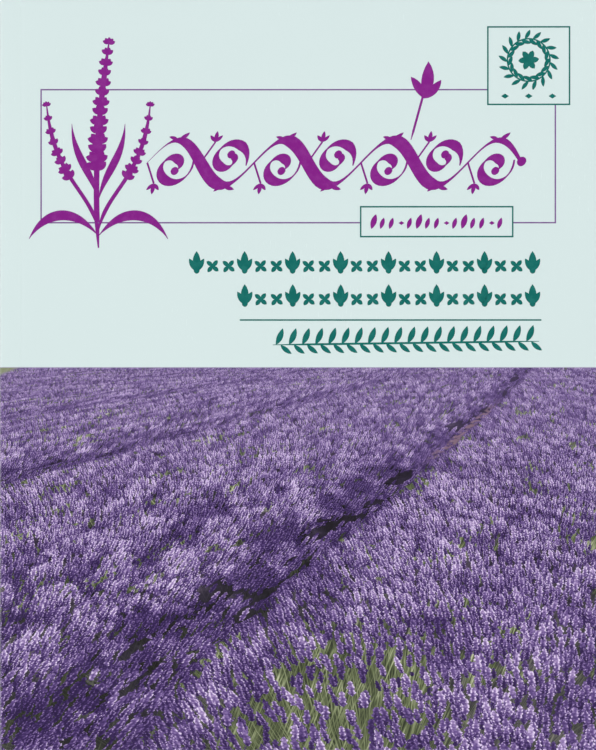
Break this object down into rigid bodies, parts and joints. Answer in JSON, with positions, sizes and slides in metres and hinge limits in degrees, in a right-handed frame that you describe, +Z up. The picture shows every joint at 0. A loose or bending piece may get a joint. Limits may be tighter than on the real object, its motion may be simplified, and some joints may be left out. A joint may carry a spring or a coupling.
{
  "type": "paperback book",
  "caption": "Closed trade paperback lying on its back cover: a card cover wrapped round a glued block of leaves, with a front panel that opens.",
  "frame": {"origin": "middle of the back cover's outer face, on the surface that the book lies on", "axes": "+X from the spine to the fore edge, +Y from the tail to the head of the page, +Z up through the thickness, out of the front cover"},
  "size_m": [0.202, 0.254, 0.0111],
  "materials": {
    "laminated_card": "printed card under a smooth gloss laminate",
    "text_paper": "matt off-white book paper",
    "binding_glue": "cream hot-melt glue"
  },
  "bodies": {
    "book": {"cover_wrap": "laminated_card", "spine_glue": "binding_glue", "front_side_glue": "binding_glue", "back_side_glue": "binding_glue", "gathering_01": "text_paper", "gathering_02": "text_paper", "gathering_03": "text_paper", "gathering_04": "text_paper", "gathering_05": "text_paper", "gathering_06": "text_paper", "gathering_07": "text_paper", "gathering_08": "text_paper", "gathering_09": "text_paper", "gathering_10": "text_paper"},
    "front_cover": {"front_cover": "laminated_card"}
  },
  "joints": [
    {"name": "front_cover_score", "type": "hinge", "parent": "book", "child": "front_cover", "pos_m": [-0.094, 0, 0.01125], "axis": [0, -1, 0], "range_deg": [0, 179.5]}
  ]
}
